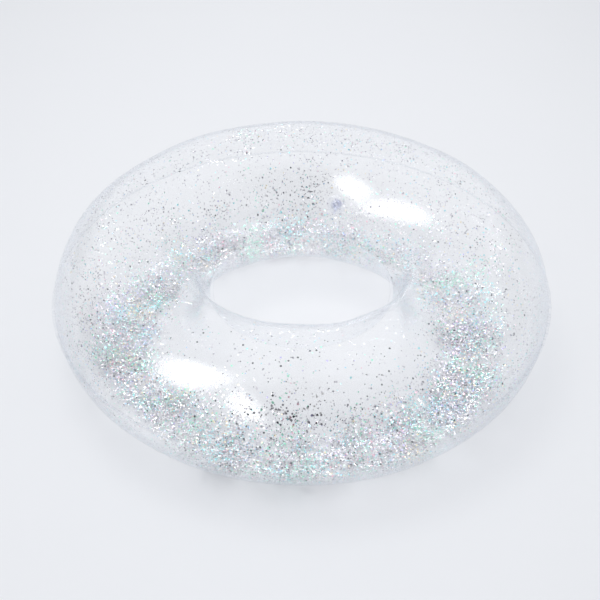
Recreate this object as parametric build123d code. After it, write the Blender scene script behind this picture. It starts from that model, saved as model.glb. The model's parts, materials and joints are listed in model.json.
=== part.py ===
from build123d import *
import math
import os
import random

# Clear swim ring (pool float): two annular vinyl sheets welded together along an outer and
# an inner circle and blown up to a round tube, one push-in inflation valve on the upper
# sheet beside the hole, and reflective glitter flakes loose inside the tube.
# Millimetres, +Z up. Origin: on the ground, on the axis of the hole.
# Valve sizes are in the valve's frame: u down the tube towards the hole, v along the tube,
# w out of the sheet. Names ending in _w or _u are places on those axes.

# ---------------------------------------------------------------- tube and welds
ring_r = 287.0          # axis of the hole to the centre of the tube
tube_r = 123.0          # outside radius of the blown-up tube
film_t = 0.4            # thickness of one vinyl sheet
rest_half_w = 18.0      # half width of the flattened annulus the ring stands on
inner_tip_r = 152.6     # radius at which the two sheets would meet at the inner weld
inner_weld_r = 147.6    # free edge of the inner weld strip
outer_weld_r = 414.4    # free edge of the outer weld strip
weld_half_t = 0.6       # half thickness of the fused strips
full_arc_mid_deg = 75   # where the unflattened profile's arc takes its middle point

# ---------------------------------------------------------------- valve
valve_azimuth = 19.8    # degrees from +Y towards +X
valve_section = 154.5   # degrees round the tube, 0 = outer equator, 90 = top, 180 = inner
film_hole_r = 10.5      # hole in the upper sheet under the valve
film_cut_half = 6.0     # half height of the cutter for that hole
flange_r = 17.0         # welded valve flange
flange_t = 1.2
flange_blank_half = 8.0 # half height of the blank the flange is cut from
rim_r = 9.0             # raised mouth rim of the valve
mouth_r = 6.8           # clear radius of the mouth
rim_top_w = 3.0
rim_foot_w = -1.5       # the rim's sleeve ends this far inside the sheet
lip_overhang = 0.8      # bead round the outside of the rim
lip_w = (1.0, 1.9)

web_t = 0.8             # flexible web between the rim's sleeve and the stem
web_r = 7.6
web_low_w = -9.8        # bottom face of the web with the stem pushed in
web_overlap = 0.2       # the web's floor runs this far into its sleeve
web_stem_gap = 0.05

stem_r = 5.5
stem_bore_r = 3.8
stem_top_w = 3.2
stem_end_w = -14.0
collar_r = 6.5
collar_t = 1.4

head_r = 8.5            # plug head
head_low_w = 4.1
head_edge = 1.5         # straight side of the head
head_crown = 1.3        # crown of the head above its side
dome_overlap = 0.5      # the dome's trimming cylinder starts this far down the side
dome_trim_top = 10.0    # and ends this far above the head's underside
shank_r = 3.75
shank_end_w = -6.0
shank_overlap = 0.2     # the shank runs this far into the head
lead_in_h = 1.5         # taper at the shank's end
lead_in_taper = 0.7
finger_lip_u = (-11.5, -7.3)
finger_lip_width = 6.0
finger_lip_t = 1.2
lug_start_u = 7.0
lug_end_u = 9.5         # end of the lug that the tether joins
lug_mid_w = head_low_w + 1.0
lug_t = 1.0

tether_t = 0.8
tether_width = 3.5
tether_reach = 16.0     # how far the tether's loop reaches from the valve's axis
strap_start_u = 5.0     # the lower strap starts inside the washer
washer_gap = 0.15       # round the plug's shank

flap_r = 4.6
flap_t = 0.5
flap_gap = 0.05
flap_hinge_u = -5.0
tongue_end_u = -3.0     # the hinge tongue runs this far into the disc
hinge_width = 5.0

# ---------------------------------------------------------------- glitter
flake_large = 3.0       # hexagonal flakes, size across the flats
flake_small = 1.6
flake_t = 0.1
flakes_per_node = 84
flake_spacing = 4.6     # least distance between flake centres
flake_valve_gap = 32.0  # least distance from a flake's centre to the valve's origin
flake_floor_gap = 1.2   # least height of a flake's centre above the lower sheet's foot
loose_depth = (1.4, 3.4)     # depth range below the sheet's inner face
clinging_depth = (0.5, 0.6)
max_tries = 200000

# ---------------------------------------------------------------- derived values
weld_z = math.sqrt(tube_r**2 - rest_half_w**2)   # height of the weld plane above the ground
tip_angle = math.acos(tube_r / (ring_r - inner_tip_r))  # inner equator to the flank's start
flank_slope = math.pi / 2 - tip_angle            # slope of the straight flank at the inner weld
tangent_deg = 180 - math.degrees(tip_angle)      # flank's start, from the outer equator

UPPER, LOWER = 1, -1    # side of the weld plane


# ---------------------------------------------------------------- tube profile
# An offset is a distance outside the sheet's outer face.
def outer_end_r(offset):
    """Radius at which the profile meets the outer weld's face."""
    return ring_r + math.sqrt((tube_r + offset)**2 - weld_half_t**2)


def inner_end_r(offset):
    """Radius at which the profile meets the inner weld's face."""
    tip = inner_tip_r - offset / math.sin(flank_slope)
    return tip + weld_half_t / math.tan(flank_slope)


def profile_point(r, height):
    """Point at a radius from the hole's axis and a height above the weld plane."""
    return Vector(r, 0, height + weld_z)


def profile(offset, side, flat_foot):
    """One profile curve from the outer weld to the inner: its edges and its two ends."""
    r = tube_r + offset

    def arc_point(degrees):
        a = math.radians(degrees)
        return profile_point(ring_r + r * math.cos(a), side * r * math.sin(a))

    start = profile_point(outer_end_r(offset), side * weld_half_t)
    tangent = arc_point(tangent_deg)
    end = profile_point(inner_end_r(offset), side * weld_half_t)
    if flat_foot:
        foot_z = -(weld_z + offset)
        half_w = math.sqrt(r**2 - foot_z**2)
        foot_deg = math.degrees(math.acos(half_w / r))
        foot_out = profile_point(ring_r + half_w, foot_z)
        foot_in = profile_point(ring_r - half_w, foot_z)
        edges = [
            ThreePointArc(start, arc_point(foot_deg / 2), foot_out),
            Line(foot_out, foot_in),
            ThreePointArc(foot_in, arc_point((180 - foot_deg + tangent_deg) / 2), tangent),
        ]
    else:
        edges = [ThreePointArc(start, arc_point(full_arc_mid_deg), tangent)]
    return edges + [Line(tangent, end)], start, end


def shell_between(offset_a, offset_b, side, flat_foot=False):
    """Half tube between two offsets, revolved all round the hole."""
    edges_a, start_a, end_a = profile(offset_a, side, flat_foot)
    edges_b, start_b, end_b = profile(offset_b, side, flat_foot)
    wire = Wire(edges_a + edges_b + [Line(start_a, start_b), Line(end_a, end_b)])
    return revolve(Face(wire), Axis.Z, 360)


# ---------------------------------------------------------------- placing
def tube_frame(azimuth, section, r, along_section):
    """Plane at radius r in the tube, facing out of it. Its x runs round the section or,
    if along_section is false, along the tube. Angles in degrees."""
    a, s = math.radians(azimuth), math.radians(section)
    from_axis = ring_r + r * math.cos(s)
    origin = Vector(from_axis * math.sin(a), from_axis * math.cos(a), weld_z + r * math.sin(s))
    normal = Vector(math.cos(s) * math.sin(a), math.cos(s) * math.cos(a), math.sin(s))
    if along_section:
        x_dir = Vector(-math.sin(s) * math.sin(a), -math.sin(s) * math.cos(a), math.cos(s))
    else:
        x_dir = Vector(math.cos(a), -math.sin(a), 0)
    return Plane(origin=origin, x_dir=x_dir, z_dir=normal)


valve_plane = tube_frame(valve_azimuth, valve_section, tube_r, along_section=True)


def at_valve(shape):
    return valve_plane.location * shape


# ---------------------------------------------------------------- solids in the valve's frame
def disc(r, low, high):
    return Pos(0, 0, (low + high) / 2) * Cylinder(r, high - low)


def ring(outer_r, inner_r, low, high):
    return disc(outer_r, low, high) - disc(inner_r, low - 1, high + 1)


def bar(start_u, end_u, mid_w, width, thickness):
    return Pos((start_u + end_u) / 2, 0, mid_w) * Box(end_u - start_u, width, thickness)


# ---------------------------------------------------------------- sheets and welds
def make_upper_film():
    hole = at_valve(disc(film_hole_r, -film_cut_half, film_cut_half))
    return shell_between(-film_t, 0, UPPER) - hole


def weld_strip(inner_r, outer_r):
    """Band in which the edges of the two sheets are fused."""
    blank = Cylinder(outer_r, 2 * weld_half_t)
    return Pos(0, 0, weld_z) * (blank - Cylinder(inner_r, 4 * weld_half_t))


# ---------------------------------------------------------------- valve pieces
def make_valve_base():
    """Flange that follows the sheet, with the rim and its lip round the mouth."""
    blank = at_valve(ring(flange_r, mouth_r, -flange_blank_half, flange_blank_half))
    flange = blank & shell_between(0, flange_t, UPPER)
    rim = at_valve(ring(rim_r, mouth_r, rim_foot_w, rim_top_w))
    lip = at_valve(ring(rim_r + lip_overhang, mouth_r, *lip_w))
    return flange + rim + lip


def make_valve_web():
    """Thin cup: a sleeve that goes in from the rim and turns under to the stem."""
    sleeve = ring(web_r, mouth_r, web_low_w, rim_foot_w)
    floor = ring(mouth_r + web_overlap, stem_r + web_stem_gap, web_low_w, web_low_w + web_t)
    return at_valve(sleeve + floor)


def make_valve_stem():
    stem = ring(stem_r, stem_bore_r, stem_end_w, stem_top_w)
    collar = ring(collar_r, stem_bore_r, web_low_w - collar_t, web_low_w)
    return at_valve(stem + collar)


def make_check_flap():
    """Disc that covers the stem's inner end, hinged on a round bead at its edge."""
    mid_w = stem_end_w - flap_gap - flap_t / 2
    cover = Pos(0, 0, mid_w) * Cylinder(flap_r, flap_t)
    tongue = bar(flap_hinge_u, tongue_end_u, mid_w, hinge_width, flap_t)
    bead = Pos(flap_hinge_u, 0, mid_w) * Rot(90, 0, 0) * Cylinder(flap_t / 2, hinge_width)
    return at_valve(cover + tongue + bead)


def make_valve_plug():
    """Domed head and tapered shank, a finger lip on one side and the tether's lug opposite."""
    side_top = head_low_w + head_edge
    head_side = disc(head_r, head_low_w, side_top)
    dome_r = (head_r**2 + head_crown**2) / (2 * head_crown)
    dome_trim = disc(head_r, side_top - dome_overlap, head_low_w + dome_trim_top)
    dome = (Pos(0, 0, side_top + head_crown - dome_r) * Sphere(dome_r)) & dome_trim
    lead_in = Pos(0, 0, shank_end_w + lead_in_h / 2) * Rot(180, 0, 0) * Cone(
        shank_r, shank_r - lead_in_taper, lead_in_h)
    shank = disc(shank_r, shank_end_w + lead_in_h, head_low_w + shank_overlap) + lead_in
    finger_lip = bar(*finger_lip_u, head_low_w + finger_lip_t / 2, finger_lip_width, finger_lip_t)
    lug = bar(lug_start_u, lug_end_u, lug_mid_w, tether_width, lug_t)
    return at_valve(head_side + dome + shank + finger_lip + lug)


def make_plug_tether():
    """Washer on the stem's end, a strap out over the rim, and a loop back to the lug."""
    low_w = stem_top_w + tether_t / 2
    bend_r = (lug_mid_w - low_w) / 2
    bend_u = tether_reach - bend_r
    washer = ring(stem_r, shank_r + washer_gap, stem_top_w, stem_top_w + tether_t)
    strap_low = bar(strap_start_u, bend_u, low_w, tether_width, tether_t)
    strap_high = bar(lug_end_u, bend_u, lug_mid_w, tether_width, tether_t)
    hoop = Rot(90, 0, 0) * (Cylinder(bend_r + tether_t / 2, tether_width)
                            - Cylinder(bend_r - tether_t / 2, tether_width + 1))
    outer_half = Pos(5, 0, 0) * Box(10, tether_width + 2, 10)
    bend = Pos(bend_u, 0, (low_w + lug_mid_w) / 2) * (hoop & outer_half)
    return at_valve(washer + strap_low + strap_high + bend)


# ---------------------------------------------------------------- glitter flakes
# Loose flakes lie along the foot of the tube, the others cling to the sheets' inner faces.
rng = random.Random(29)
flake_centres = []      # shared by all the flake pieces, so that none overlap


def foot_section():
    return 270 + max(-34, min(34, rng.gauss(0, 15)))


def wall_section():
    # All four draws are made before the choice; the repeated range doubles its share.
    ranges = [(12, 150), (12, 150), (197, 226), (314, 350)]
    return rng.choice([rng.uniform(*limits) for limits in ranges])


def is_free(centre):
    return (centre.Z >= film_t + flake_floor_gap
            and (centre - valve_plane.origin).length >= flake_valve_gap
            and all((centre - other).length >= flake_spacing for other in flake_centres))


def scatter(across, draw_section, depth):
    hexagon = RegularPolygon(across / 2, 6, major_radius=False)
    prism = extrude(hexagon, flake_t / 2, both=True)
    flakes = []
    tries = 0
    while len(flakes) < flakes_per_node and tries < max_tries:
        tries += 1
        azimuth = rng.uniform(0, 360)
        section = draw_section()
        r = tube_r - film_t - rng.uniform(*depth)
        plane = tube_frame(azimuth, section, r, along_section=False)
        if is_free(plane.origin):
            flake_centres.append(plane.origin)
            flakes.append(plane.location * Rot(0, 0, rng.uniform(0, 60)) * prism)
    return Compound(children=flakes)


# ---------------------------------------------------------------- output
# The glitter pieces stay in this order, because they share one random sequence.
pieces = {
    "upper_film": make_upper_film(),
    "lower_film": shell_between(-film_t, 0, LOWER, flat_foot=True),
    "outer_weld_seam": weld_strip(outer_end_r(-film_t), outer_weld_r),
    "inner_weld_seam": weld_strip(inner_weld_r, inner_end_r(-film_t)),
    "valve_base": make_valve_base(),
    "valve_web": make_valve_web(),
    "valve_stem": make_valve_stem(),
    "check_flap": make_check_flap(),
    "valve_plug": make_valve_plug(),
    "plug_tether": make_plug_tether(),
    "loose_glitter_large": scatter(flake_large, foot_section, loose_depth),
    "loose_glitter_small": scatter(flake_small, foot_section, loose_depth),
    "clinging_glitter_large": scatter(flake_large, wall_section, clinging_depth),
    "clinging_glitter_small": scatter(flake_small, wall_section, clinging_depth),
}
os.makedirs("parts", exist_ok=True)
for name, shape in pieces.items():
    export_step(shape, f"parts/{name}.step")
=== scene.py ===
"""An inflatable ring of clear vinyl with loose and clinging glitter inside.

It lies flat on the floor at z = 0 with its axis on +Z. Two sheets, upper and lower, are welded
along the outer and inner rims. The valve sits in the upper sheet, towards the ring's hole.
Azimuth runs from +Y (the far side) towards +X (the right); the camera stands on the -Y side.
"""
import json
import math

import bmesh
import bpy
import numpy as np
from mathutils import Matrix, Vector

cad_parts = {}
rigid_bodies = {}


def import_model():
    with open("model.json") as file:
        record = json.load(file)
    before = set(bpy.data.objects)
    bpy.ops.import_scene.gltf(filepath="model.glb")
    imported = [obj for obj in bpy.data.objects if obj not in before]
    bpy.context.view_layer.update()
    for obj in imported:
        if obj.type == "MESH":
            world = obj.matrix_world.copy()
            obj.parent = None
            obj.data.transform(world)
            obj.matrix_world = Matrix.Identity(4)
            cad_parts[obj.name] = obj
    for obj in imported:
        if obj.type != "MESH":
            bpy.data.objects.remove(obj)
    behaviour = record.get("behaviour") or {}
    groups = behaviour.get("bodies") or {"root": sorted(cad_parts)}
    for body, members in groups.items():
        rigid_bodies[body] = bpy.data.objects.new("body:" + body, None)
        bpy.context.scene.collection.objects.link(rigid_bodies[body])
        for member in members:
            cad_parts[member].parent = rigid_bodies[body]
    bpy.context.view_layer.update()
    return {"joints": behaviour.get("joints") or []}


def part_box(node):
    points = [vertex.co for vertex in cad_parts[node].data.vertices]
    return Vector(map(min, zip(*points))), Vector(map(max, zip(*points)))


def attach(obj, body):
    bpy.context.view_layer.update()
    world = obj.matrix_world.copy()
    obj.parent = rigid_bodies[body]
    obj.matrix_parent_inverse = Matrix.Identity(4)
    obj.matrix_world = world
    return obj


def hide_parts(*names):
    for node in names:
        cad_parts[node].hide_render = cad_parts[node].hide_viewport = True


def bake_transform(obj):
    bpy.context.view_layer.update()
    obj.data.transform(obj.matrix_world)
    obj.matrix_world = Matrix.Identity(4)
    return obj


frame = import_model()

scene = bpy.context.scene
MM = 0.001
TURN = 2 * math.pi

# ------------------------------------------------------------------ driving sizes
weld_low, weld_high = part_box("outer_weld_seam")
upper_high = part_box("upper_film")[1]
Z_EQ = (weld_low.z + weld_high.z) / 2           # weld plane
TUBE = upper_high.z - Z_EQ                      # tube radius, outside
RING = round(upper_high.x, 4) - TUBE            # ring radius, to the tube's centre
R_OUT = RING + TUBE
FILM = 0.4 * MM                                 # sheet thickness
WELD_OUT = weld_high.x                          # free edge of the outer weld
WELD_IN = 147.6 * MM                            # free edge of the inner weld
MEET = 152.6 * MM                               # radius where the sheets would meet at the hole
FOOT = math.sqrt(max(TUBE**2 - Z_EQ**2, 0))     # half width of the flat foot

# The section is round up to ROUND_END degrees, then runs straight to the inner weld.
MEET_ANGLE = math.acos(TUBE / (RING - MEET))
ROUND_END = 180 - math.degrees(MEET_ANGLE)
FLANK = math.pi / 2 - MEET_ANGLE                # slope of the straight part

# The valve's frame: w out along the stem, v along the flap's hinge, u across both.
HINGE_U, FLAP_W = -5.0, -14.3                   # the flap's hinge, mm
joints = {joint["name"]: joint for joint in frame["joints"]}
W_AXIS = np.array(joints["stem_pull"]["axis"], float)
V_AXIS = np.array(joints["flap_open"]["axis"], float)
W_AXIS /= np.linalg.norm(W_AXIS)
V_AXIS /= np.linalg.norm(V_AXIS)
U_AXIS = np.cross(V_AXIS, W_AXIS)
VALVE = np.array(joints["flap_open"]["pos_m"]) - HINGE_U * MM * U_AXIS - FLAP_W * MM * W_AXIS
VALVE_AZ = math.atan2(VALVE[0], VALVE[1])


# ------------------------------------------------------------------ geometry helpers
def mm(points):
    return np.array(points, float) * MM


def wrap(angle):
    return (angle + math.pi) % TURN - math.pi


def bell(offset, width, power=2):
    return np.exp(-(offset / width) ** power)


def around(az, r, z):
    """Cylinder coordinates about the ring's axis to x, y, z."""
    return np.stack([r * np.sin(az), r * np.cos(az), z], -1)


def at_valve(points):
    """(u, v, w) points in metres to the ring's frame."""
    points = np.asarray(points, float).reshape(-1, 3)
    return VALVE + points[:, :1] * U_AXIS + points[:, 1:2] * V_AXIS + points[:, 2:3] * W_AXIS


def skin_distance(points):
    """Signed distance of points from the smooth tube's outer face."""
    r = np.hypot(points[:, 0], points[:, 1]) - RING
    z = np.abs(points[:, 2] - Z_EQ)
    to_round = np.hypot(r, z) - TUBE
    to_flank = r * -math.cos(MEET_ANGLE) + z * math.sin(MEET_ANGLE) - TUBE
    return np.where(np.arctan2(z, r) > math.radians(ROUND_END), to_flank, to_round)


def skin_height(u, v):
    """Height w of the tube's skin at valve coordinates u, v."""
    w = np.zeros_like(u)
    for _ in range(8):
        w = w - skin_distance(at_valve(np.stack([u, v, w], 1)))
    return w


def add_mesh(name, verts, faces, materials, index=None, smooth=True):
    """faces: list of (n, k) integer arrays."""
    mesh = bpy.data.meshes.new(name)
    verts = np.asarray(verts, np.float32)
    loops = np.concatenate([np.asarray(group, np.int32).ravel() for group in faces])
    sizes = np.concatenate([np.full(len(group), group.shape[1], np.int32) for group in faces])
    starts = np.concatenate([[0], np.cumsum(sizes)[:-1]]).astype(np.int32)
    mesh.vertices.add(len(verts))
    mesh.vertices.foreach_set("co", verts.ravel())
    mesh.loops.add(len(loops))
    mesh.loops.foreach_set("vertex_index", loops)
    mesh.polygons.add(len(sizes))
    mesh.polygons.foreach_set("loop_start", starts)
    mesh.polygons.foreach_set("loop_total", sizes)
    for mat in materials:
        mesh.materials.append(mat)
    if index is not None:
        mesh.polygons.foreach_set("material_index", np.asarray(index, np.int32))
    mesh.polygons.foreach_set("use_smooth", np.full(len(sizes), smooth))
    mesh.update(calc_edges=True)
    mesh.validate()
    ob = bpy.data.objects.new(name, mesh)
    scene.collection.objects.link(ob)
    return ob


def fix_normals(ob):
    bm = bmesh.new()
    bm.from_mesh(ob.data)
    bmesh.ops.recalc_face_normals(bm, faces=bm.faces)
    bm.to_mesh(ob.data)
    bm.free()


def loop_faces(n, k):
    """Quads of an n by k grid of points that closes on itself both ways."""
    i = np.arange(n)[:, None]
    j = np.arange(k)[None, :]
    next_i, next_j = (i + 1) % n, (j + 1) % k
    corners = [i * k + j, i * k + next_j, next_i * k + next_j, next_i * k + j]
    return np.stack(corners, -1).reshape(-1, 4)


def rounded(outline, radius, steps=4):
    """A closed outline with its corners rounded."""
    points = []
    count = len(outline)
    for i in range(count):
        before, corner, after = (np.array(outline[(i + k - 1) % count], float) for k in range(3))
        back, ahead = before - corner, after - corner
        back_len, ahead_len = np.linalg.norm(back), np.linalg.norm(ahead)
        cut = min(radius, 0.45 * back_len, 0.45 * ahead_len)
        start, end = corner + back / back_len * cut, corner + ahead / ahead_len * cut
        for t in np.linspace(0, 1, steps):
            points.append((1 - t) ** 2 * start + 2 * t * (1 - t) * corner + t * t * end)
    return np.array(points)


def dense(outline, step):
    """A closed outline with more points on its long sides."""
    points = []
    for here, there in zip(outline, np.roll(outline, -1, axis=0)):
        pieces = max(1, int(np.linalg.norm(there - here) / step))
        points += [here + (there - here) * t / pieces for t in range(pieces)]
    return np.array(points)


def lathe(name, outline, mat, segments, warp=None):
    """Revolves a closed (radius, w) outline about the valve's axis. Radius 0 makes caps."""
    angles = np.arange(segments) / segments * TURN
    on_axis = outline[:, 0] < 1e-9
    verts, ids = [], []
    for at_axis, (r, w) in zip(on_axis, outline):
        start = len(verts)
        if at_axis:
            ids.append([start] * segments)
            verts.append((0, 0, w))
        else:
            verts += [(r * math.cos(t), r * math.sin(t), w) for t in angles]
            ids.append(list(range(start, start + segments)))
    quads, tris = [], []
    for j in range(len(outline)):
        k = (j + 1) % len(outline)
        if on_axis[j] and on_axis[k]:
            continue
        for i in range(segments):
            i2 = (i + 1) % segments
            a, b, c, d = ids[j][i], ids[j][i2], ids[k][i2], ids[k][i]
            if on_axis[j]:
                tris.append((a, c, d))
            elif on_axis[k]:
                tris.append((a, b, c))
            else:
                quads.append((a, b, c, d))
    verts = np.array(verts, float)
    if warp is not None:
        verts = warp(verts)
    faces = [np.array(group) for group in (quads, tris) if group]
    ob = add_mesh(name, at_valve(verts), faces, [mat])
    fix_normals(ob)
    return ob


def strap(name, path, width, thick, mat):
    """A flat strap with soft edges, swept along (u, w) points. All sizes in mm."""
    path, width, thick = mm(path), width * MM, thick * MM
    along = np.gradient(path, axis=0)
    along /= np.linalg.norm(along, axis=1)[:, None]
    normals = np.stack([-along[:, 1], along[:, 0]], 1)
    half_w, half_t = width / 2, thick / 2
    profile = rounded([(-half_w, -half_t), (half_w, -half_t), (half_w, half_t), (-half_w, half_t)],
                      thick * 0.4)
    verts = [(u + normal_u * b, a, w + normal_w * b)
             for (u, w), (normal_u, normal_w) in zip(path, normals) for a, b in profile]
    n, k = len(path), len(profile)
    quads = loop_faces(n, k)[:(n - 1) * k]      # all but those from the last row to the first
    caps = np.array([list(range(k))[::-1], list(range((n - 1) * k, n * k))])
    ob = add_mesh(name, at_valve(np.array(verts)), [quads, caps], [mat])
    fix_normals(ob)
    return ob


def join(target, added):
    for ob in bpy.context.view_layer.objects:
        ob.select_set(False)
    target.select_set(True)
    added.select_set(True)
    bpy.context.view_layer.objects.active = target
    bpy.ops.object.join()
    return target


def register(ob, body, cad):
    """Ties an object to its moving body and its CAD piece."""
    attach(ob, body)
    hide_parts(cad)


# ------------------------------------------------------------------ shader helpers
def node(tree, kind, inputs=None, **settings):
    """A new node; an input given as a socket is linked, any other is set as a value."""
    made = tree.nodes.new(kind)
    for key, value in settings.items():
        setattr(made, key, value)
    for key, value in (inputs or {}).items():
        if isinstance(value, bpy.types.NodeSocket):
            tree.links.new(value, made.inputs[key])
        else:
            made.inputs[key].default_value = value
    return made


def maths(tree, operation, a, b, clamp=False):
    made = node(tree, "ShaderNodeMath", {0: a, 1: b}, operation=operation, use_clamp=clamp)
    return made.outputs[0]


def vector_maths(tree, operation, inputs, output):
    return node(tree, "ShaderNodeVectorMath", inputs, operation=operation).outputs[output]


def smoothstep(tree, value, low, high):
    made = node(tree, "ShaderNodeMapRange", {"Value": value, "From Min": low, "From Max": high},
                interpolation_type="SMOOTHSTEP")
    return made.outputs["Result"]


def noise(tree, scale, detail, roughness, distortion=0.0):
    place = tree.nodes.new("ShaderNodeTexCoord").outputs["Object"]
    made = node(tree, "ShaderNodeTexNoise", {
        "Vector": place, "Scale": scale, "Detail": detail,
        "Roughness": roughness, "Distortion": distortion})
    return made.outputs["Fac"]


def mixed_colour(tree, factor, a, b):
    made = node(tree, "ShaderNodeMix", {"A": (*a, 1), "B": (*b, 1), "Factor": factor},
                data_type="RGBA")
    return made.outputs["Result"]


def mixed_shader(tree, factor, a, b):
    made = node(tree, "ShaderNodeMixShader", {0: factor, 1: a.outputs[0], 2: b.outputs[0]})
    return made


def new_material(name):
    mat = bpy.data.materials.new(name)
    mat.use_nodes = True
    mat.node_tree.nodes.clear()
    return mat, mat.node_tree, mat.node_tree.nodes.new("ShaderNodeOutputMaterial")


# ------------------------------------------------------------------ materials
def clear_vinyl(name, *, face_on, edge_on, edge_power, mirror, roughness, haze, haze_colour,
                edge_haze, bump):
    """A thin clear wall that deepens from the face_on to the edge_on tint, with a mirror share
    by Schlick's rule (mirror is the share face on) and a little haze that scatters light."""
    mat, tree, output = new_material(name)
    facing = node(tree, "ShaderNodeLayerWeight", {"Blend": 0.5}).outputs["Facing"]
    waves = noise(tree, scale=26.0, detail=4.0, roughness=0.5, distortion=0.4)
    fine = noise(tree, scale=420.0, detail=2.0, roughness=0.5)
    height = maths(tree, "ADD", waves, maths(tree, "MULTIPLY", fine, 0.02))
    bumped = node(tree, "ShaderNodeBump", {"Strength": 1.0, "Distance": bump, "Height": height})
    tint = mixed_colour(tree, maths(tree, "POWER", facing, edge_power), face_on, edge_on)
    through = node(tree, "ShaderNodeBsdfTransparent", {"Color": tint})

    # roughness varies from 0.75 to 1.25 of its value with the waves
    uneven = maths(tree, "ADD", maths(tree, "MULTIPLY", waves, roughness * 0.5), roughness * 0.75)
    gloss = node(tree, "ShaderNodeBsdfAnisotropic", {
        "Color": (1, 1, 1, 1), "Roughness": uneven, "Normal": bumped.outputs["Normal"]})
    grazing = maths(tree, "POWER", facing, 5.0)
    share = maths(tree, "ADD", maths(tree, "MULTIPLY", grazing, 1 - mirror), mirror, clamp=True)
    # light that scatters off one wall comes in by another, so soft light is mirrored half as much
    ray = tree.nodes.new("ShaderNodeLightPath").outputs
    soft_light = maths(tree, "MAXIMUM", ray["Is Diffuse Ray"], ray["Is Shadow Ray"])
    kept = maths(tree, "SUBTRACT", 1.0, maths(tree, "MULTIPLY", soft_light, 0.50))
    clear = mixed_shader(tree, maths(tree, "MULTIPLY", share, kept), through, gloss)

    scatter = node(tree, "ShaderNodeBsdfDiffuse", {"Color": (*haze_colour, 1)})
    at_edge = maths(tree, "MULTIPLY", maths(tree, "POWER", facing, 4.0), edge_haze)
    all_over = maths(tree, "MULTIPLY", waves, haze * 2)
    hazy = mixed_shader(tree, maths(tree, "ADD", at_edge, all_over, clamp=True), clear, scatter)
    tree.links.new(hazy.outputs[0], output.inputs["Surface"])
    return mat


FILM_VINYL = clear_vinyl(
    "clear_vinyl_sheet", face_on=(0.998, 0.9985, 0.999), edge_on=(0.925, 0.943, 0.975),
    edge_power=5.0, mirror=0.037, roughness=0.12, haze=0.002, haze_colour=(0.94, 0.96, 1.0),
    edge_haze=0.01, bump=0.0004)
WELD_VINYL = clear_vinyl(
    "welded_vinyl", face_on=(0.998, 0.999, 1.0), edge_on=(0.92, 0.94, 0.975),
    edge_power=3.0, mirror=0.014, roughness=0.22, haze=0.003, haze_colour=(0.88, 0.91, 1.0),
    edge_haze=0.03, bump=0.0003)
RIM_VINYL = clear_vinyl(
    "welded_rim_vinyl", face_on=(0.988, 0.989, 0.992), edge_on=(0.85, 0.87, 0.90),
    edge_power=1.6, mirror=0.030, roughness=0.16, haze=0.004, haze_colour=(0.88, 0.91, 1.0),
    edge_haze=0.04, bump=0.0003)
VALVE_VINYL = clear_vinyl(
    "valve_vinyl", face_on=(0.982, 0.984, 0.994), edge_on=(0.84, 0.85, 0.92),
    edge_power=1.5, mirror=0.045, roughness=0.16, haze=0.01, haze_colour=(0.84, 0.84, 0.97),
    edge_haze=0.06, bump=0.0002)
PLUG_VINYL = clear_vinyl(
    "plug_vinyl", face_on=(0.972, 0.976, 0.992), edge_on=(0.80, 0.82, 0.91),
    edge_power=1.3, mirror=0.05, roughness=0.14, haze=0.03, haze_colour=(0.86, 0.89, 0.99),
    edge_haze=0.10, bump=0.0002)


def foil(name, colour, order):
    """Metal foil; order shifts the grain's scale so that no two foils match."""
    mat, tree, output = new_material(name)
    grain = noise(tree, scale=900.0 + 37 * order, detail=2.0, roughness=0.5)
    rough = maths(tree, "ADD", maths(tree, "MULTIPLY", grain, 0.08), 0.276)
    metal = node(tree, "ShaderNodeBsdfPrincipled", {
        "Base Color": (*colour, 1), "Metallic": 1.0, "Roughness": rough})
    tree.links.new(metal.outputs[0], output.inputs["Surface"])
    return mat


# ------------------------------------------------------------------ how the film is uneven
rng = np.random.default_rng(1207)

# puckers run in from the outer weld
PUCKERS = 168
DEEPEST = 1.15 * MM
pucker_az = (np.arange(PUCKERS) + rng.uniform(-0.38, 0.38, PUCKERS)) / PUCKERS * TURN
pucker_width = rng.uniform(2.2, 4.6, PUCKERS) * MM
pucker_depth = rng.uniform(0.15, 1.0, PUCKERS) ** 1.5 * DEEPEST
upper_length = rng.uniform(9, 34, PUCKERS) * MM * (0.4 + pucker_depth / DEEPEST)
lower_length = rng.uniform(9, 38, PUCKERS) * MM * (0.4 + pucker_depth / DEEPEST)

# broad waves over the sheet: count round the ring, radians per metre across it, phase, height
WAVES = 26
wave_count = rng.integers(2, 15, WAVES)
wave_across = rng.uniform(-22, 22, WAVES)
wave_phase = rng.uniform(0, TURN, WAVES)
wave_height = 0.22 * MM * rng.uniform(0.4, 1.0, WAVES)
LOWER_SHIFT = 1.3                               # phase of the lower sheet's waves

# waves of the outer weld: count round the ring, phase, height
seam_count = np.array([37, 52, 71, 88, 103, 131, 157, 190, 223])
seam_phase = rng.uniform(0, TURN, 9)
seam_height = np.array([0.26, 0.26, 0.30, 0.26, 0.28, 0.24, 0.22, 0.16, 0.12]) * MM


def seam_wave(az):
    """Height of the outer weld above its plane."""
    return (seam_height * np.sin(np.multiply.outer(az, seam_count) + seam_phase)).sum(-1)


def smooth(t):
    t = np.clip(t, 0, 1)
    return t * t * (3 - 2 * t)


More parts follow.
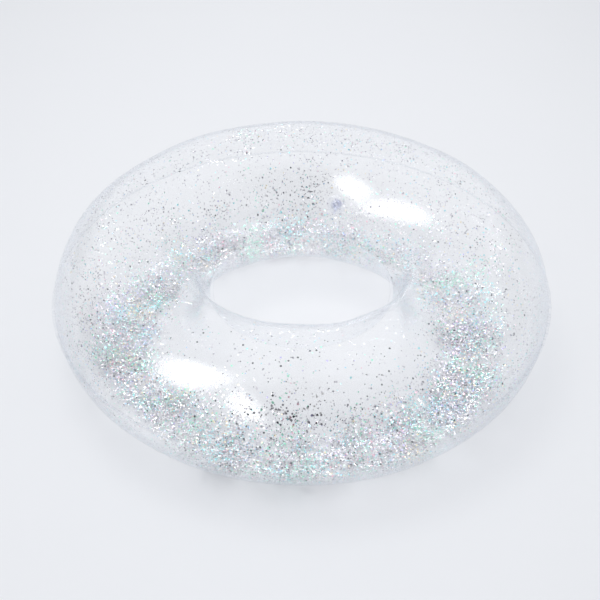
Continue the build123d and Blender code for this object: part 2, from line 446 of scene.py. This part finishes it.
def film_bump(az, along, upper):
    """Displacement along the sheet's normal, at a distance along the sheet from the outer
    weld."""
    az, along = np.broadcast_arrays(np.asarray(az, float), np.asarray(along, float))
    waves = np.zeros(az.shape)
    for count, across, phase, height in zip(wave_count, wave_across, wave_phase, wave_height):
        waves += height * np.sin(count * az + across * along + phase
                                 + (0 if upper else LOWER_SHIFT))
    # the waves die out within 50 mm of each weld
    ends = np.clip(along / 0.05, 0, 1) * np.clip((0.325 - along) / 0.05, 0, 1)
    waves *= ends * ends * (3 - 2 * ends)

    folds = np.zeros(az.size)
    near = np.flatnonzero(along.ravel() < 0.08)
    near_az, near_along = az.ravel()[near], along.ravel()[near]
    lengths = upper_length if upper else lower_length
    for centre, width, depth, length in zip(pucker_az, pucker_width, pucker_depth, lengths):
        aside = wrap(near_az - centre) * R_OUT
        hit = np.abs(aside) < 3.5 * width
        if not hit.any():
            continue
        x = near_along[hit] / length
        fade = np.minimum(1, 0.25 + x * 3.0) * np.exp(-(x ** 2) * 1.1)
        folds[near[hit]] -= depth * np.exp(-(aside[hit] / width) ** 2) * fade
    return waves + folds.reshape(az.shape)


def valve_calm(points):
    """0 at the valve's flange, 1 away from it."""
    return smooth((np.linalg.norm(points - VALVE, axis=-1) - 0.022) / 0.035)


def floor_calm(z):
    """0 where the lower sheet rests on the floor, 1 well above it."""
    return np.clip((z - 0.002) / 0.02, 0, 1)


# ------------------------------------------------------------------ the two sheets
SHEET_AZ = 840


def sheet_section(upper):
    """The smooth outer face from the outer weld to the inner, as rows of
    radius, height over the weld plane, normal's radius and height parts, distance along."""
    side = 1 if upper else -1
    degrees = [0.28, 0.31, *np.linspace(1.2, 9, 6), *np.linspace(11, 30, 9)]
    if upper:
        degrees += [*np.linspace(34, ROUND_END, 33)]
    else:
        foot = math.degrees(math.acos(FOOT / TUBE))
        degrees += [*np.linspace(34, foot, 14), 90.0, *np.linspace(180 - foot, ROUND_END, 18)]
    rows = []
    for degree in degrees:
        a = math.radians(degree)
        r, z = RING + TUBE * math.cos(a), TUBE * math.sin(a)
        if not upper and z > Z_EQ:
            z = Z_EQ                            # the flat foot
        rows.append([r, side * z, math.cos(a), side * math.sin(a), TUBE * a])
    # the straight flank, ending half a weld's thickness from the weld plane
    a = math.radians(ROUND_END)
    r0, z0, along0 = rows[-1][0], abs(rows[-1][1]), rows[-1][4]
    z1 = 0.6 * MM
    r1 = MEET + z1 / math.tan(FLANK)
    length = math.hypot(r1 - r0, z1 - z0)
    for t in (0.2, 0.4, 0.6, 0.8, 0.9985, 1.0):
        rows.append([r0 + (r1 - r0) * t, side * (z0 + (z1 - z0) * t),
                     math.cos(a), side * math.sin(a), along0 + length * t])
    return np.array(rows)


def sheet_face(az, section, upper, offset):
    """Grid of points of a face of the sheet, offset outwards from its outer face."""
    az = az[:, None]
    r, z, normal_r, normal_z, along = section.T[:, None, :]
    height = film_bump(az, along, upper)
    base = around(az, r + 0 * height, Z_EQ + z + 0 * height)
    height = height * (valve_calm(base) if upper else floor_calm(base[..., 2])) + offset
    r = r + height * normal_r
    z = Z_EQ + z + height * normal_z + seam_wave(az[:, 0])[:, None] * np.exp(-along / 0.012)
    if not upper:
        z = np.maximum(z, -offset)
    return around(az, r, z)


def make_sheet(name, upper):
    section = sheet_section(upper)
    az = np.arange(SHEET_AZ) / SHEET_AZ * TURN
    outer = sheet_face(az, section, upper, 0.0)
    inner = sheet_face(az, section, upper, -FILM)
    grid = np.concatenate([outer, inner[:, ::-1]], 1)
    faces = loop_faces(SHEET_AZ, grid.shape[1])
    if not upper:
        faces = faces[:, ::-1]
    return add_mesh(name, grid.reshape(-1, 3), [faces], [FILM_VINYL])


def cut_valve_mouth(ob):
    """Opens the upper sheet under the valve."""
    cutter = lathe("mouth_cutter", mm([(0, -6), (10.5, -6), (10.5, 6), (0, 6)]), FILM_VINYL, 40)
    cut = ob.modifiers.new("mouth", "BOOLEAN")
    cut.operation = "DIFFERENCE"
    cut.solver = "EXACT"
    cut.object = cutter
    bpy.context.view_layer.update()
    graph = bpy.context.evaluated_depsgraph_get()
    mesh = bpy.data.meshes.new_from_object(ob.evaluated_get(graph))
    ob.modifiers.clear()
    if len(mesh.polygons) > 1000:               # keeps the whole sheet should the cut fail
        mesh.name = ob.data.name + "_cut"
        ob.data = mesh
    bpy.data.objects.remove(cutter)


upper_sheet = make_sheet("upper_sheet", True)
cut_valve_mouth(upper_sheet)
lower_sheet = make_sheet("lower_sheet", False)
register(upper_sheet, "ring", "upper_film")
register(lower_sheet, "ring", "lower_film")


# ------------------------------------------------------------------ the weld strips
# how far across the strip each point of its section lies, and on which face
STRIP_T = np.array([0, 0.015, 0.25, 0.5, 0.75, 0.93, 1.0, 0.93, 0.75, 0.5, 0.25, 0.015, 0.0])
STRIP_SIDE = np.array([1, 1, 1, 1, 1, 1, 0, -1, -1, -1, -1, -1, -1])
HALF_ROOT, HALF_EDGE = 0.62 * MM, 0.36 * MM     # half thickness at the sheets and further out
OUTER_CELLS, INNER_CELLS = 343, 150             # embossed cells round each strip
CELL_STEPS = 8


def make_weld(name, r_root, r_edge, cells, mat, wave, ripple, scallop):
    """A flat fused strip with a rounded free edge. wave lifts all of it, ripple moves its
    free edge in and out, scallop lifts the free edge."""
    n_az = cells * CELL_STEPS
    az = (np.arange(n_az) / n_az * TURN)[:, None]
    t = STRIP_T[None, :]
    body = HALF_ROOT + (HALF_EDGE - HALF_ROOT) * np.minimum(1, t * 2.2)
    half = STRIP_SIDE * body * np.where(np.abs(t - 0.93) < 0.01, 0.7, 1.0)
    emboss = 1 + 0.12 * np.sin(az * cells) * (t > 0.2) * (t < 0.95)
    lift = wave(az[:, 0])[:, None] * (1 + 0.35 * t) + scallop(az) * np.clip((t - 0.1) / 0.6, 0, 1)
    r = r_root + (r_edge - r_root) * t + ripple(az) * t
    points = around(az, r, Z_EQ + half * emboss + lift)
    ob = add_mesh(name, points.reshape(-1, 3), [loop_faces(n_az, len(STRIP_T))], [mat])
    fix_normals(ob)
    return ob


def outer_ripple(az):
    slow = 0.35 * MM * np.sin(az * 97 + 1.0) * np.sin(az * 23)
    return slow + 0.45 * MM * np.sin(az * OUTER_CELLS) * (0.6 + 0.4 * np.sin(az * 11))


def outer_scallop(az):
    """Fine gathers of the free edge."""
    gathers = np.sin(az * OUTER_CELLS + 2.5 * np.sin(az * 19))
    return 0.75 * MM * gathers * (0.55 + 0.45 * np.sin(az * 7 + 0.6))


outer_weld = make_weld(
    "outer_weld", r_root=R_OUT - 0.45 * MM, r_edge=WELD_OUT - 0.5 * MM, cells=OUTER_CELLS,
    mat=RIM_VINYL, wave=seam_wave, ripple=outer_ripple, scallop=outer_scallop)
inner_weld = make_weld(
    "inner_weld", r_root=153.3 * MM, r_edge=WELD_IN, cells=INNER_CELLS, mat=WELD_VINYL,
    wave=lambda az: 0.12 * MM * np.sin(az * 9 + 1) + 0.08 * MM * np.sin(az * 31),
    ripple=lambda az: 0.15 * MM * np.sin(az * 14), scallop=lambda az: 0 * az)
register(outer_weld, "ring", "outer_weld_seam")
register(inner_weld, "ring", "inner_weld_seam")


# ------------------------------------------------------------------ the valve
# closed outlines as (radius, w) in mm
FLANGE = [
    (6.8, -1.5), (9.0, -1.5), (9.0, 0.02), (12.0, 0.02), (16.9, 0.02), (17.0, 0.35), (16.2, 0.75),
    (12.5, 1.15), (10.4, 1.25), (9.5, 1.6), (9.2, 2.3), (9.0, 3.0), (7.0, 3.0), (6.8, 2.6)]
WEB = [(7.6, -1.5), (6.8, -1.5), (6.8, -8.4), (6.2, -9.0), (5.56, -9.0), (5.56, -9.8),
       (7.0, -9.8), (7.6, -9.2)]
STEM = [
    (3.8, 2.8), (4.2, 3.2), (5.3, 3.2), (5.5, 2.9), (5.5, -9.8), (6.5, -9.85), (6.5, -11.0),
    (6.2, -11.2), (5.5, -11.3), (5.4, -14.0), (3.8, -14.0)]
PLUG = [
    (0, 6.9), (2.5, 6.84), (5.0, 6.5), (6.6, 6.1), (7.0, 5.82), (7.4, 6.02), (8.0, 6.0),
    (8.5, 5.6), (8.5, 4.4), (8.2, 4.1), (4.2, 4.1), (3.75, 3.6), (3.75, 1.2), (3.55, 1.0),
    (3.75, 0.8), (3.75, -2.0), (3.55, -2.2), (3.75, -2.4), (3.75, -4.5), (3.05, -6.0),
    (2.0, -6.0), (1.9, -1.0), (0, -0.8)]
WASHER = [(3.9, 3.2), (5.5, 3.2), (5.5, 4.0), (3.9, 4.0)]
# the flap's w is measured from its hinge
FLAP = [(0, 0.25), (4.4, 0.25), (4.6, 0.1), (4.6, -0.2), (4.4, -0.25), (0, -0.25)]

# the finger lip as (u, w) in mm
LIP_PATH = [(-11.3, 4.75), (-10.6, 4.7), (-9.6, 4.7), (-8.6, 4.75), (-7.6, 4.8)]

# the tether's fold, mm
TETHER_LOW, TETHER_HIGH = 3.6, 5.1              # w of its two runs
TETHER_WIDTH = 3.5
BEND_U, BEND_REACH, BEND_BULGE = 12.0, 3.25, 0.25


def on_skin(verts):
    """Lets the flange's lower part follow the sheet; its rim and its skirt inside stay true."""
    height = skin_height(verts[:, 0], verts[:, 1])
    keep = np.clip((verts[:, 2] - 1.4 * MM) / (0.8 * MM), 0, 1)
    moved = verts.copy()
    moved[:, 2] += np.where(verts[:, 2] < -0.3 * MM, 0, height * (1 - keep))
    return moved


def tether_path():
    """Out along the stem's mouth, round the bend and back to the plug."""
    half_gap = (TETHER_HIGH - TETHER_LOW) / 2
    path = [(u, TETHER_LOW) for u in np.linspace(5.0, BEND_U, 10)]
    path += [(BEND_U + BEND_REACH * math.sin(t),
              TETHER_LOW + half_gap * (1 - math.cos(t)) + BEND_BULGE * math.sin(t) ** 2)
             for t in np.linspace(0.15, math.pi - 0.15, 16)]
    return path + [(u, TETHER_HIGH) for u in np.linspace(BEND_U, 9.4, 5)]


flange = lathe("valve_flange", dense(rounded(mm(FLANGE), 0.35 * MM), 0.8 * MM), VALVE_VINYL, 72,
               warp=on_skin)
web = lathe("valve_web_cup", dense(rounded(mm(WEB), 0.3 * MM, 3), 0.6 * MM), VALVE_VINYL, 48)
stem = lathe("valve_stem_tube", dense(rounded(mm(STEM), 0.18 * MM, 3), 1.2 * MM), VALVE_VINYL, 48)
plug = lathe("plug_button", mm(PLUG), PLUG_VINYL, 56)

tether = strap("plug_strap", tether_path(), TETHER_WIDTH, 0.8, PLUG_VINYL)
tether = join(tether, lathe("strap_washer", rounded(mm(WASHER), 0.2 * MM, 3), PLUG_VINYL, 40))

plug = join(plug, strap("finger_lip", LIP_PATH, 6.0, 1.1, PLUG_VINYL))
lug_path = [(u, TETHER_HIGH) for u in (7.6, 8.4, 9.4)]
plug = join(plug, strap("strap_lug", lug_path, TETHER_WIDTH, 1.0, PLUG_VINYL))

flap = lathe("check_flap_disc", mm([(r, FLAP_W + w) for r, w in FLAP]), VALVE_VINYL, 40)
tongue_path = [(u, FLAP_W) for u in (-4.95, -4.5, -4.0, -3.2, -2.5)]
flap = join(flap, strap("flap_tongue", tongue_path, 5.0, 0.5, VALVE_VINYL))

register(flange, "ring", "valve_base")
register(stem, "stem", "valve_stem")
register(plug, "plug", "valve_plug")
register(flap, "flap", "check_flap")
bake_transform(web)
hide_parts("valve_web")
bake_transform(tether)
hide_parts("plug_tether")

# ------------------------------------------------------------------ glitter colours
# foil, colour, and its share of the large loose, the small loose and the clinging flakes
PALETTE = [
    ("silver", (0.69, 0.67, 0.73), 0.26, 0.30, 0.31),
    ("white", (1.0, 0.99, 1.0), 0.21, 0.16, 0.17),
    ("grey", (0.45, 0.44, 0.49), 0.20, 0.27, 0.26),
    ("dark", (0.08, 0.09, 0.10), 0.13, 0.030, 0.11),
    ("aqua", (0.38, 0.82, 0.87), 0.040, 0.075, 0.045),
    ("mint", (0.40, 0.84, 0.66), 0.045, 0.080, 0.045),
    ("pink", (0.90, 0.58, 0.68), 0.035, 0.015, 0.015),
    ("lilac", (0.62, 0.58, 0.90), 0.020, 0.035, 0.020),
    ("gold", (0.95, 0.82, 0.56), 0.030, 0.015, 0.010),
    ("sky", (0.46, 0.68, 0.92), 0.010, 0.010, 0.015),
]
WHITE, GREY, DARK, AQUA, MINT = range(1, 6)
LARGE_MIX, SMALL_MIX, WALL_MIX = (np.array([row[k] for row in PALETTE]) for k in (2, 3, 4))
FOILS = [foil("foil_" + row[0], row[1], i) for i, row in enumerate(PALETTE)]

# six fields of five waves each: count round the ring, radians per metre across it, phase
patch_count = rng.integers(1, 26, (6, 5))
patch_across = rng.uniform(-60, 60, (6, 5))
patch_phase = rng.uniform(0, 6.28, (6, 5))


def patches(az, along):
    """Six slow-changing fields over the sheet, by which flakes gather in patches."""
    fields = np.zeros((6, len(az)))
    for f in range(6):
        for count, across, phase in zip(patch_count[f], patch_across[f], patch_phase[f]):
            fields[f] += np.sin(count * az + across * along + phase)
    return fields / 1.6


def colours(az, along, mix, draw):
    """Palette index of each flake."""
    fields = patches(az, along)
    weights = np.repeat(mix[None, :], len(az), 0)
    near = 0.5 - 0.5 * np.cos(az)
    right = np.cos(az - math.radians(80)).clip(0, 1)
    # painted shadow: extra dark flakes in a spot on the near side, a little to the left, stand for
    # the shade under the ring there
    painted_shadow_spot = bell(wrap(az + math.radians(162)), math.radians(17))
    # partly painted light: white and dark are the flakes' own colours, but more of both on the near
    # side stand for glints and dark reflections there, and the far side turns greyer
    weights[:, WHITE] *= 1.05 - 0.55 * (1 - near)
    weights[:, GREY] *= 1.0 + 0.35 * (1 - near)
    weights[:, DARK] *= 0.45 + 0.40 * near + 1.1 * painted_shadow_spot
    weights[:, AQUA] *= 0.85 + 0.35 * right
    weights[:, MINT] *= 0.95
    for f in range(6):                          # the six hues, aqua to sky, lie in patches
        weights[:, AQUA + f] *= np.exp(0.85 * fields[f])
    weights /= weights.sum(1)[:, None]
    passed = weights.cumsum(1) < draw.uniform(0, 1, len(az))[:, None]
    return passed.sum(1).clip(0, len(PALETTE) - 1)


# ------------------------------------------------------------------ flakes
# Section angles here run the whole way round, in degrees: 0 outer weld, 90 top, 180 inner weld,
# 270 foot.
FLAKE_THICK = 0.05 * MM
SPARKLERS = []


def film_frame(az, deg, level=None):
    """Points on the sheet's inner face, inward normals and distances along the sheet. level
    takes the place of the film's own bumps."""
    a = np.radians(deg)
    upper = deg <= 180
    r = RING + (TUBE - FILM) * np.cos(a)
    z = np.maximum((TUBE - FILM) * np.sin(a), -(Z_EQ - FILM))
    along = TUBE * np.where(upper, a, TURN - a)
    base = around(az, r, Z_EQ + z)
    if level is None:
        level = np.where(upper, film_bump(az, along, True), film_bump(az, along, False))
        level = level * np.where(upper, valve_calm(base), floor_calm(base[:, 2]))
    normal = around(az, -np.cos(a), -np.sin(a))
    return base - normal * level[:, None], normal, along


def flakes(name, az, deg, lift, across, tilt, mix, body, cad, draw, level=None):
    """Six-sided flakes, lifted off the film and tilted about a random line in their plane."""
    base, normal, along = film_frame(az, deg, level)
    count = len(az)
    centre = base + normal * lift[:, None]
    round_ring = np.stack([np.cos(az), -np.sin(az), 0 * az], 1)
    across_ring = np.cross(normal, round_ring)
    heading = draw.uniform(0, TURN, count)
    hinge = round_ring * np.cos(heading)[:, None] + across_ring * np.sin(heading)[:, None]
    aside = np.cross(normal, hinge)
    normal = normal * np.cos(tilt)[:, None] + aside * np.sin(tilt)[:, None]
    aside = np.cross(normal, hinge)

    spin = draw.uniform(0, math.pi / 3, count)
    radius = across / 2 / math.cos(math.pi / 6)
    points = np.zeros((count, 12, 3))
    for i in range(6):
        a = spin + i * math.pi / 3
        corner = hinge * (np.cos(a) * radius)[:, None] + aside * (np.sin(a) * radius)[:, None]
        points[:, i] = centre + corner + normal * FLAKE_THICK / 2
        points[:, 6 + i] = centre + corner - normal * FLAKE_THICK / 2
    first = (np.arange(count) * 12)[:, None]
    top = first + np.arange(6)
    bottom = first + np.arange(11, 5, -1)
    side = np.array([[i, 6 + i, 6 + (i + 1) % 6, (i + 1) % 6] for i in range(6)])
    sides = (first[:, :, None] + side).reshape(-1, 4)
    colour = colours(az, along, mix, draw)
    index = np.concatenate([colour, colour, np.repeat(colour, 6)])
    ob = add_mesh(name, points.reshape(-1, 3), [top, bottom, sides], FOILS, index, smooth=False)
    register(ob, body, cad)
    SPARKLERS.append(ob)


def pick(count, density, low, high, draw, top):
    """Draws azimuths and section angles by density, whose values lie under top."""
    az_kept, deg_kept = [], []
    got = 0
    while got < count:
        az = draw.uniform(-math.pi, math.pi, 20000)
        deg = draw.uniform(low, high, 20000)
        girth = (RING + TUBE * np.cos(np.radians(deg))) / R_OUT
        ok = draw.uniform(0, top, 20000) < density(az, deg) * girth
        az_kept.append(az[ok])
        deg_kept.append(deg[ok])
        got += ok.sum()
    return np.concatenate(az_kept)[:count], np.concatenate(deg_kept)[:count]


# how the loose glitter lies: azimuth in degrees, section angles of the bed's edges towards the
# hole and towards the outer rim, and fullness
BED_AZ = np.arange(-180, 180, 20)
BED_IN = [244, 245, 242, 246, 256, 254, 254, 250, 250, 246, 246, 250, 250, 246, 246, 246, 244, 245]
BED_OUT = [304, 306, 284, 286, 303, 303, 294, 298, 295, 300, 296, 295, 298, 292, 292, 300, 290,
           294]
BED_FULL = [1.0, 1.10, 1.05, 1.22, 1.05, 1.05, 1.0, 0.72, 0.80, 0.70, 0.61, 0.58, 0.70, 0.95,
            1.25, 1.22, 0.98, 0.90]


def bed_density(az, deg):
    """Relative number of loose flakes."""
    inner, outer, full = (np.interp(np.degrees(wrap(az)), BED_AZ, column, period=360)
                          for column in (BED_IN, BED_OUT, BED_FULL))
    x = (deg - (inner + outer) / 2) / ((outer - inner) / 2)
    fields = patches(az, np.radians(deg) * TUBE * 0.6)
    band = np.exp(-np.abs(x + 0.12 * fields[5].clip(-1.5, 1.5)) ** 2.4)
    clump = 1 + 0.22 * fields[4].clip(-1.5, 1.5)
    return band * full * clump


def wall_density(az, deg):
    """Relative number of clinging flakes."""
    far = 0.5 + 0.5 * np.cos(az)
    # outer wall above the bed, fuller on the right and on the left
    low = bell(deg - 318, 19) * (0.75 + 0.55 * far)
    low *= 1 + 0.9 * bell(wrap(az - 1.85), 0.75) + 0.5 * bell(wrap(az + 1.65), 0.5)
    # wall on the hole's side above the bed
    inner = (0.45 - 0.38 * far) * bell(deg - 236, 14)
    # upper sheet, mostly the far side, and again the near side
    upper_far = 0.60 * bell(deg - 72, 80, power=4) * (0.30 + 0.70 * far)
    near = 0.42 * bell(deg - 60, 50) * (0.5 - 0.5 * np.cos(az - 0.25))
    # along the outer weld, less of everything there on the right
    rim = 0.38 * (bell(deg, 30) + bell(deg - 360, 26))
    by_rim = np.abs(wrap(np.radians(deg))) < math.radians(62)
    right = 1 - 0.3 * bell(wrap(az - 1.65), 0.5) * by_rim
    # a nearly bare place on top at the left
    bare = 1 - 0.85 * bell(wrap(az + 1.25), 0.42) * bell(deg - 95, 45)
    clump = 1 + 0.35 * patches(az, np.radians(deg) * TUBE * 0.5)[2].clip(-1.2, 1.2)
    everywhere = 0.05
    total = low + inner + upper_far + near + rim + everywhere
    return total * right * clump * np.clip(bare, 0.05, 1)


# How far in the lower sheet's bumps reach anywhere round the ring, by section angle, so that
# drifting flakes clear them and the flakes that cling there wherever they go.
REACH_DEG = np.arange(215.0, 346.0)
reach_az = np.arange(720) / 720 * TURN
REACH = np.array([film_bump(reach_az, TUBE * (TURN - a), False).min()
                  * floor_calm(Z_EQ + TUBE * math.sin(a))
                  for a in map(math.radians, REACH_DEG)])


def loose(name, count, size, cad, seed, mix):
    """Flakes of about size mm lying in the bed."""
    draw = np.random.default_rng(seed)
    az, deg = pick(count, bed_density, 222, 340, draw, top=1.6)
    lift = (0.25 + draw.gamma(1.4, 0.7, count).clip(0, 5)) * MM
    across = size * draw.uniform(0.85, 1.12, count) * MM
    wild = draw.uniform(0, 1, count) < 0.28     # some stand at steep angles
    tilt = np.where(wild, draw.normal(0, 30, count), draw.normal(0, 11, count))
    tilt = np.radians(np.abs(tilt).clip(0, 75))
    beyond_foot = np.clip((np.abs(deg - 270) - 8) / 8, 0, 1)
    lift = lift + across * 0.62 * np.sin(tilt) + 1.35 * MM * beyond_foot
    flakes(name, az, deg, lift, across, tilt, mix, "glitter", cad, draw,
           level=np.interp(deg, REACH_DEG, REACH))


def clinging(name, count, size, cad, seed, cluster=0):
    """Flakes of about size mm held by the film; cluster more sit high on the near outer wall."""
    draw = np.random.default_rng(seed)
    az, deg = pick(count, wall_density, 2, 358, draw, top=3.6)
    if cluster:
        cluster_az = math.radians(-175) + draw.normal(0, math.radians(5.0), cluster)
        az = np.concatenate([az, cluster_az])
        deg = np.concatenate([deg, draw.normal(37, 4.5, cluster)])
    # clear of the inner weld, the foot and the valve
    by_valve = (np.abs(wrap(az - VALVE_AZ)) < 0.16) & (np.abs(deg - 154.5) < 13)
    keep = (np.abs(deg - 180) > 6) & (np.abs(deg - 270) > 17) & ~by_valve
    az, deg = az[keep], deg[keep]
    kept = len(az)
    lift = (0.12 + draw.uniform(0, 0.1, kept)) * MM
    across = size * draw.uniform(0.88, 1.12, kept) * MM
    tilt = np.radians(np.abs(draw.normal(0, 3.0, kept)).clip(0, 12))
    lift = lift + across * 0.6 * np.sin(tilt)
    flakes(name, az, deg, lift, across, tilt, WALL_MIX, "ring", cad, draw)


loose("loose_flakes_large", count=4200, size=3.1, cad="loose_glitter_large",
      seed=11, mix=LARGE_MIX)
for i, tag in enumerate("abcd"):
    loose("loose_flakes_small_" + tag, count=9600, size=1.7, cad="loose_glitter_small",
          seed=12 + 10 * i, mix=SMALL_MIX)
clinging("clinging_flakes_large", count=1150, size=3.0, cad="clinging_glitter_large",
         seed=13, cluster=55)
clinging("clinging_flakes_small", count=9700, size=1.8, cad="clinging_glitter_small",
         seed=14)


# ------------------------------------------------------------------ floor
FLOOR_HALF = 9.0


def floor_material():
    """Matt pale grey, with painted shade that darkens it slowly outwards and painted light that makes
    it a little lighter under the ring.
    """
    mat, tree, output = new_material("studio_floor")
    grain = noise(tree, scale=6.0, detail=4.0, roughness=0.6)
    tone = mixed_colour(tree, grain, (0.884, 0.892, 0.912), (0.896, 0.904, 0.922))
    place = tree.nodes.new("ShaderNodeTexCoord").outputs["Object"]
    xyz = node(tree, "ShaderNodeSeparateXYZ", {0: place}).outputs
    # painted shade of the light's falloff towards the edges: darkening by the square of the distance,
    # quicker along x than along y; never under 0.90
    x_squared = maths(tree, "MULTIPLY", xyz["X"], xyz["X"])
    painted_falloff_x = maths(tree, "MULTIPLY", x_squared, 0.115)
    y = maths(tree, "ADD", xyz["Y"], -0.2)
    painted_falloff_y = maths(tree, "MULTIPLY", maths(tree, "MULTIPLY", y, y), 0.045)
    level = maths(tree, "SUBTRACT", 1.0, maths(tree, "ADD", painted_falloff_x, painted_falloff_y))
    # painted light: a lighter pool under the ring, centred a little to the right and towards the far
    # side, for light that comes through the clear ring
    from_light_pool_centre = vector_maths(tree, "SUBTRACT", {0: place, 1: (0.05, 0.11, 0.0)}, "Vector")
    distance = vector_maths(tree, "LENGTH", {0: from_light_pool_centre}, "Value")
    painted_light_pool = smoothstep(tree, distance, 0.45, 0.20)
    level = maths(tree, "ADD", maths(tree, "MAXIMUM", level, 0.90),
                  maths(tree, "MULTIPLY", painted_light_pool, 0.05))
    shade = vector_maths(tree, "SCALE", {0: tone, "Scale": level}, "Vector")
    matt = node(tree, "ShaderNodeBsdfPrincipled", {
        "Roughness": 0.9, "Specular IOR Level": 0.1, "Base Color": shade})
    tree.links.new(matt.outputs[0], output.inputs["Surface"])
    return mat


floor_corners = [(x * FLOOR_HALF, y * FLOOR_HALF, 0) for x, y in ((-1, -1), (1, -1), (1, 1), (-1, 1))]
floor = add_mesh("studio_floor", floor_corners, [np.array([[0, 1, 2, 3]])], [floor_material()],
                 smooth=False)


# ------------------------------------------------------------------ light
def area(name, at, aim, size, watts, fade=0.0, diffuse=True, glossy=True):
    """An elliptical lamp; fade is the share of its radius over which it dims to nothing."""
    light = bpy.data.lights.new(name, "AREA")
    light.shape = "ELLIPSE"
    light.size, light.size_y = size
    light.energy = watts
    ob = bpy.data.objects.new(name, light)
    scene.collection.objects.link(ob)
    ob.location = at
    ob.rotation_euler = (Vector(aim) - Vector(at)).to_track_quat("-Z", "Y").to_euler()
    ob.visible_diffuse = diffuse
    ob.visible_glossy = glossy
    if fade:
        light.use_nodes = True
        tree = light.node_tree
        emission = next(n for n in tree.nodes if n.type == "EMISSION")
        place = tree.nodes.new("ShaderNodeNewGeometry").outputs["Parametric"]
        distance = vector_maths(tree, "DISTANCE", {0: place, 1: (0.5, 0.5, 0.0)}, "Value")
        strength = smoothstep(tree, distance, 0.5, 0.5 - 0.5 * fade)
        tree.links.new(strength, emission.inputs["Strength"])
    return ob


area("softbox", at=(-1.743, -1.072, 2.194), aim=(0, 0, 0.1), size=(1.85, 2.85), watts=122.0,
     fade=1.0, diffuse=False)
area("key_lamp", at=(-1.9, 1.3, 9.7), aim=(0, 0, 0), size=(4.6, 4.6), watts=224.0, glossy=False)

# The foil is embossed, so it also throws the studio's lamps to the sides of their mirror image:
# small lamps that light the foil alone, by direction and colour.
FOIL_LAMPS = [
    ((-0.50, 0.62, 0.60), (0.84, 1.0, 0.94)), ((0.52, 0.58, 0.62), (1.0, 0.88, 0.94)),
    ((0.12, 0.40, 0.91), (0.92, 0.96, 1.0)), ((-0.05, 0.92, 0.38), (1.0, 0.97, 0.90)),
    ((0.55, -0.76, 0.36), (0.96, 1.0, 1.0)), ((-0.55, -0.76, 0.36), (1.0, 0.97, 1.0)),
]
foil_only = bpy.data.collections.new("foil_only")
for sparkler in SPARKLERS:
    foil_only.objects.link(sparkler)
for i, (way, tint) in enumerate(FOIL_LAMPS):
    lamp = area("foil_lamp_%d" % i, at=Vector(way).normalized() * 2.0, aim=(0, 0, 0),
                size=(0.22, 0.22), watts=4.4, diffuse=False)
    lamp.data.color = tint
    lamp.light_linking.receiver_collection = foil_only

# lighter and darker areas of the surroundings: direction, cosines from it where the area starts
# and is full, and brightness added
WORLD_LEVEL, WORLD_LEAST = 0.64, 0.04
WORLD_AREAS = [
    ((0, 0.74, 0.68), 0.20, 0.95, 0.36), ((0.02, -0.74, 0.67), 0.72, 0.95, -0.30),
    ((0, -0.95, 0.28), 0.86, 0.98, -0.28), ((0.60, 0.71, 0.34), 0.945, 0.99, -0.28),
    ((-0.64, 0.76, 0.08), 0.945, 0.99, -0.28),
]


def build_world():
    world = bpy.data.worlds.new("studio")
    scene.world = world
    world.use_nodes = True
    tree = world.node_tree
    tree.nodes.clear()
    output = tree.nodes.new("ShaderNodeOutputWorld")
    seen = node(tree, "ShaderNodeBackground", {"Color": (0.965, 0.975, 1.0, 1)})
    view = tree.nodes.new("ShaderNodeTexCoord").outputs["Generated"]

    def lobe(way, start, full):
        """0 to 1 as the view direction nears the given one."""
        dot = vector_maths(tree, "DOT_PRODUCT", {0: view, 1: Vector(way).normalized()}, "Value")
        return smoothstep(tree, dot, start, full)

    level = WORLD_LEVEL
    for way, start, full, added in WORLD_AREAS:
        level = maths(tree, "ADD", maths(tree, "MULTIPLY", lobe(way, start, full), added), level)
    level = maths(tree, "MAXIMUM", level, WORLD_LEAST)
    tree.links.new(level, seen.inputs["Strength"])

    # matt surfaces are lit mostly from overhead, which keeps the shadows close under the ring
    overhead = maths(tree, "MULTIPLY", lobe((-0.05, 0.05, 1.0), 0.3, 1.0), 0.92)
    fill = node(tree, "ShaderNodeBackground", {
        "Color": (0.955, 0.970, 1.0, 1), "Strength": maths(tree, "ADD", overhead, 0.28)})
    diffuse_ray = tree.nodes.new("ShaderNodeLightPath").outputs["Is Diffuse Ray"]
    both = mixed_shader(tree, diffuse_ray, seen, fill)
    tree.links.new(both.outputs[0], output.inputs["Surface"])
    world.cycles.sampling_method = "NONE"


build_world()

scene.view_settings.view_transform = "Standard"
scene.view_settings.look = "None"
scene.view_settings.exposure = 0.0
scene.cycles.transparent_max_bounces = 40
scene.cycles.max_bounces = 12
scene.cycles.glossy_bounces = 6
scene.cycles.diffuse_bounces = 4
scene.cycles.caustics_reflective = True
scene.cycles.caustics_refractive = False
scene.cycles.sample_clamp_indirect = 8.0

# ------------------------------------------------------------------ camera
ELEVATION = math.radians(38.54)
DISTANCE = 6.326 * R_OUT                        # from the ring's centre
# turns away from the ring's centre, radians: to the left, upwards, and about the view
YAW, PITCH, ROLL = 0.0010375045, -0.0078036823, math.radians(0.207)


def turned(a, b, angle):
    """Two square axes after a turn of a towards b."""
    cos, sin = math.cos(angle), math.sin(angle)
    return a * cos + b * sin, b * cos - a * sin


ring_centre = np.array([0, 0, Z_EQ])
offset = np.array([0, -math.cos(ELEVATION), math.sin(ELEVATION)]) * DISTANCE
forward = -offset / np.linalg.norm(offset)
right = np.array([1.0, 0, 0])
up = np.cross(right, forward)
right, forward = turned(right, forward, YAW)
forward, up = turned(forward, up, PITCH)
right, up = turned(right, up, ROLL)

camera = bpy.data.cameras.new("camera")
camera.sensor_width = 36.0
camera.lens = 93.108
camera_ob = bpy.data.objects.new("camera", camera)
scene.collection.objects.link(camera_ob)
pose = np.eye(4)
pose[:3] = np.stack([right, up, -forward, ring_centre + offset], 1)
camera_ob.matrix_world = Matrix(pose.tolist())
scene.camera = camera_ob
